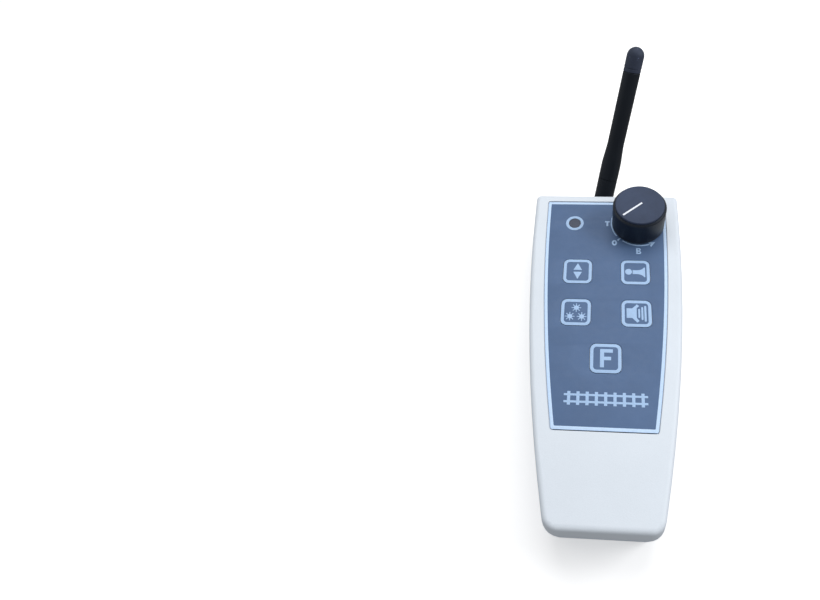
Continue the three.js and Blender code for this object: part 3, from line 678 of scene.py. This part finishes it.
def polar(radius, angle):
    """A point round the knob's axis, with its angle in degrees."""
    a = math.radians(angle)
    return KNOB.x + radius * math.cos(a), KNOB.y + radius * math.sin(a)


DIAL = (17.8, 65.7)  # the printed arcs stand a little off the knob's axis
DIAL_RADIUS = 14.9
DIAL_LINE = 0.72
LETTER_T = [
    (-0.48, -1.7), (0.48, -1.7), (0.48, 0.85), (1.3, 0.85),
    (1.3, 1.7), (-1.3, 1.7), (-1.3, 0.85), (-0.48, 0.85),
]


def letter_b():
    """The outline of a capital B and its two counters."""
    outer = [(-1.25, -1.7)] + arc(0.25, -0.85, 0.85, -90, 62, 8)
    outer += arc(0.15, 0.87, 0.83, -35, 90, 8) + [(-1.25, 1.7)]
    low = [(-0.5, -1.1)] + arc(0.15, -0.75, 0.32, -90, 90, 6) + [(-0.5, -0.4)]
    high = [(-0.5, 0.42)] + arc(0.1, 0.74, 0.3, -90, 90, 6) + [(-0.5, 1.06)]
    return [outer, low, high]


def oval(rx, ry):
    turns = [2 * math.pi * i / 40 for i in range(40)]
    return [(rx * math.cos(a), ry * math.sin(a)) for a in turns]


def build_dial():
    """The marks round the knob. The nought is where the pointer rests."""
    tick = ((13.6, 223.6), (15.7, 223.8), (15.7, 226.8), (13.6, 227.1))
    marks = {
        "arc_slow": [band(*DIAL, DIAL_RADIUS, DIAL_LINE, 118, 216)],
        "arc_fast": [band(*DIAL, DIAL_RADIUS, DIAL_LINE, 233, 292)],
        "arrow": [[polar(13.3, 293.2), polar(16.5, 293.2), polar(14.8, 306.5)]],
        "nought_tick": [[polar(radius, angle) for radius, angle in tick]],
        "nought": [placed(oval(1.38, 1.8), 4.5, 52.35), placed(oval(0.52, 0.9), 4.5, 52.35)],
        "legend_t": [placed(LETTER_T, 0.65, 65.25)],
        "legend_b": [placed(loop, 17.2, 47.2, 1.1) for loop in letter_b()],
    }
    for name, loops in marks.items():
        printed(f"dial_{name}", loops)


TRACK = {"x": 0.5, "y": -33.4, "half_length": 18.6, "rail_half": 0.48, "sleeper_half": 0.7, "pitch": 4.1}


def build_track_motif():
    """A plain piece of straight track, printed below the keys. The rails cut each sleeper in three."""
    x, y, rail_half = TRACK["x"], TRACK["y"], TRACK["rail_half"]
    for i, offset in enumerate((-1.6, 1.6)):
        ends = (x - TRACK["half_length"], x + TRACK["half_length"])
        printed(f"rail_{i + 1}", [bar(*ends, y + offset - rail_half, y + offset + rail_half)])
    for i in range(9):
        middle = x + (i - 4) * TRACK["pitch"]
        sides = (middle - TRACK["sleeper_half"], middle + TRACK["sleeper_half"])
        for j, (low, high) in enumerate(((-3.1, -2.08), (-1.12, 1.12), (2.08, 3.1))):
            printed(f"sleeper_{i + 1}_{j + 1}", [bar(*sides, y + low, y + high)])


build_dial()
build_track_motif()


# ---- Status light ----------------------------------------------------------------------------

def build_window():
    """A lens with a faintly domed face."""
    radius, shoulder, crown = 3.15, FILM_HIGH - 0.05, 0.12
    profile = [(0, FILM_LOW), (radius, FILM_LOW), (radius, shoulder)]
    for angle in (15, 30, 45, 60, 75):
        a = math.radians(angle)
        profile.append((radius * math.cos(a), shoulder + crown * math.sin(a)))
    profile.append((0, shoulder + crown))
    mesh = lathe_mesh("window", profile, 64)
    mesh.transform(Matrix.Translation((LIGHT.x * MM, LIGHT.y * MM, 0)))
    finished("light_lens", mesh, "smoke", "case", ["light_window"])


build_window()


# ---- Knob ------------------------------------------------------------------------------------

def build_knob():
    """The skirt with a fine groove above its foot and a bevelled rim, and the cap with its shallow dish."""
    body_box, cap_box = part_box("knob_body"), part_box("knob_cap")
    low, rim, top = body_box[0].z / MM, body_box[1].z / MM, cap_box[1].z / MM
    radius = (body_box[1].x - body_box[0].x) / 2 / MM
    cap = (cap_box[1].x - cap_box[0].x) / 2 / MM
    hub, hub_outer, hub_low, ceiling = 5.1, 5.9, 36.6, 44
    inside, groove = radius - 1.8, radius - 0.12
    skirt = [(hub, hub_low), (hub_outer, hub_low), (hub_outer, ceiling), (inside, ceiling)]
    skirt += [(inside, low + 0.2), (radius - 1.6, low), (radius - 0.35, low), (radius - 0.1, low + 0.1)]
    skirt += [(radius, low + 0.35), (radius, low + 1.1), (groove, low + 1.2), (groove, low + 1.35)]
    skirt += [(radius, low + 1.45)]
    skirt += arc(radius - 0.2, rim - 0.95, 0.2, 0, 40, 4) + arc(cap + 0.26, rim - 0.25, 0.2, 40, 90, 4)
    skirt += [(cap + 0.06, rim - 0.1), (cap + 0.06, rim - 1.2), (7, rim - 1.2), (7, 46), (hub, 46)]
    mesh = lathe_mesh("knob_skirt", skirt, 128)
    mesh.transform(Matrix.Translation((KNOB.x * MM, KNOB.y * MM, 0)))
    finished("knob_skirt", mesh, "knob", "knob", ["knob_body"])
    dish = [(0, top - 2.2), (cap, top - 2.2), (cap, top - 0.5)]
    dish += arc(cap - 0.5, top - 0.5, 0.5, 0, 90, 6)[1:]
    dish += [(cap - 1.1, top - 0.02), (cap - 1.5, top - 0.1), (6, top - 0.13), (0, top - 0.14)]
    mesh = lathe_mesh("knob_disc", dish, 128)
    mesh.transform(Matrix.Translation((KNOB.x * MM, KNOB.y * MM, 0)))
    finished("knob_disc", mesh, "cap", "knob", ["knob_cap"])


build_knob()


# ---- Whip ------------------------------------------------------------------------------------

TILT_JOINT = next(j for j in frame["joints"] if j["name"] == "antenna_tilt")
PIN = Vector(TILT_JOINT["pos_m"])
SWIVEL, TILT = 12.2, 62.7  # degrees at rest, about the socket's axis and up from straight
WHIP_PLACE = (  # from a whip drawn along Z with its hinge pin at the origin
    Matrix.Translation(PIN)
    @ Matrix.Rotation(math.radians(SWIVEL), 4, "Y")
    @ Matrix.Rotation(math.radians(TILT), 4, "X")
    @ Matrix.Rotation(math.radians(-90), 4, "X")
)
KNEE_RADIUS, SLIM_RADIUS, BORE_RADIUS = 5.6, 4.75, 3.5
SEAM, SHOULDER, GROOVES, WHIP_LENGTH = 18.4, (25.5, 40.5), 79.8, 92.8  # measured from the hinge pin


def ease(t):
    return t * t * (3 - 2 * t)


def build_whip():
    """The sheath, which narrows over its shoulder, and the domed tip with its two grooves."""
    knee, slim, bore, seam, grooves = KNEE_RADIUS, SLIM_RADIUS, BORE_RADIUS, SEAM, GROOVES
    start, end = SHOULDER
    sheath = [(bore, seam + 0.1), (knee - 0.2, seam + 0.1), (knee, seam + 0.3), (knee, start)]
    for i in range(1, 13):
        sheath.append((knee + (slim - knee) * ease(i / 12), start + (end - start) * i / 12))
    sheath += [(slim, grooves - 0.42), (slim - 0.16, grooves - 0.22), (bore, grooves - 0.22)]
    mesh = lathe_mesh("whip_sheath", sheath, 72)
    mesh.transform(WHIP_PLACE)
    finished("whip_sheath", mesh, "black", "whip", ["antenna_sheath"])
    spigot = 3.2
    tip = [(0, grooves - 4), (spigot, grooves - 4), (spigot, grooves), (slim - 0.15, grooves)]
    tip += [(slim, grooves + 0.2), (slim, grooves + 1.5), (slim - 0.22, grooves + 1.7)]
    tip += [(slim - 0.22, grooves + 1.95), (slim, grooves + 2.15)]
    tip += arc(0, WHIP_LENGTH - slim, slim, 0, 90, 14)[:-1] + [(0, WHIP_LENGTH)]
    mesh = lathe_mesh("whip_tip", tip, 72)
    mesh.transform(WHIP_PLACE)
    finished("whip_tip", mesh, "rubber", "whip", ["antenna_tip"])


build_whip()


# ---- Floor and light -------------------------------------------------------------------------

def build_stage():
    """A pale paper floor, lifted by a faint glow, that throws no light back on the object."""
    body = bmesh.new()
    bmesh.ops.create_grid(body, x_segments=8, y_segments=8, size=3)
    mesh = bpy.data.meshes.new("floor")
    body.to_mesh(mesh)
    body.free()
    floor = bpy.data.objects.new("floor", mesh)
    floor.location.z = CAD_BOX[0].z - 0.4 * MM
    SCENE.collection.objects.link(floor)
    s = Shader("floor_paper", rough=0.8)
    s.colour(s.ramp(s.noise(3), [(0.3, (0.93, 0.93, 0.935)), (0.7, (0.95, 0.95, 0.955))]))
    s.bump((s.noise(400, 2), 0.02))
    s.bsdf.inputs["Emission Color"].default_value = (1, 1, 1, 1)
    s.bsdf.inputs["Emission Strength"].default_value = 0.32
    mesh.materials.append(s.material)
    floor.visible_diffuse = False
    floor.visible_glossy = False


def area_light(name, place, size, power):
    """A soft round light at a place in metres, aimed at the origin."""
    data = bpy.data.lights.new(name, "AREA")
    data.shape = "DISK"
    data.size = size
    data.energy = power
    light = bpy.data.objects.new(name, data)
    light.location = place
    light.rotation_euler = (-Vector(place)).to_track_quat("-Z", "Y").to_euler()
    SCENE.collection.objects.link(light)


def build_world():
    """A dome that is brighter above and behind the knob end, and pale paper where the camera sees it."""
    world = bpy.data.worlds.new("studio")
    SCENE.world = world
    world.use_nodes = True
    tree = world.node_tree
    background = tree.nodes["Background"]
    background.inputs["Strength"].default_value = 1.0
    where = tree.nodes.new("ShaderNodeTexCoord")
    lean = tree.nodes.new("ShaderNodeVectorMath")
    lean.operation = "DOT_PRODUCT"
    lean.inputs[1].default_value = (0, 0.5, 0.87)  # the way to the brightest part
    span = tree.nodes.new("ShaderNodeMapRange")
    span.inputs["From Min"].default_value = -0.6
    dome = tree.nodes.new("ShaderNodeValToRGB")
    tree.links.new(where.outputs["Generated"], lean.inputs[0])
    tree.links.new(lean.outputs["Value"], span.inputs["Value"])
    tree.links.new(span.outputs["Result"], dome.inputs["Fac"])
    dim, bright = dome.color_ramp.elements
    dim.position, dim.color = 0.0, (0.31, 0.315, 0.32, 1)
    bright.position, bright.color = 0.6, (0.48, 0.485, 0.49, 1)
    seen = tree.nodes.new("ShaderNodeLightPath")
    paper = tree.nodes.new("ShaderNodeMix")
    paper.data_type = "RGBA"
    paper.inputs[7].default_value = (0.9, 0.91, 0.92, 1)
    tree.links.new(seen.outputs["Is Camera Ray"], paper.inputs[0])
    tree.links.new(dome.outputs["Color"], paper.inputs[6])
    tree.links.new(paper.outputs[2], background.inputs["Color"])


build_stage()
build_world()
area_light("key", (0.0, 0.42, 0.8), 0.7, 3.1)
area_light("right", (0.6, 0.1, 0.5), 0.4, 2.4)
area_light("left", (-0.6, 0.1, 0.3), 0.5, 0.4)
SCENE.view_settings.view_transform = "Standard"
SCENE.view_settings.look = "None"
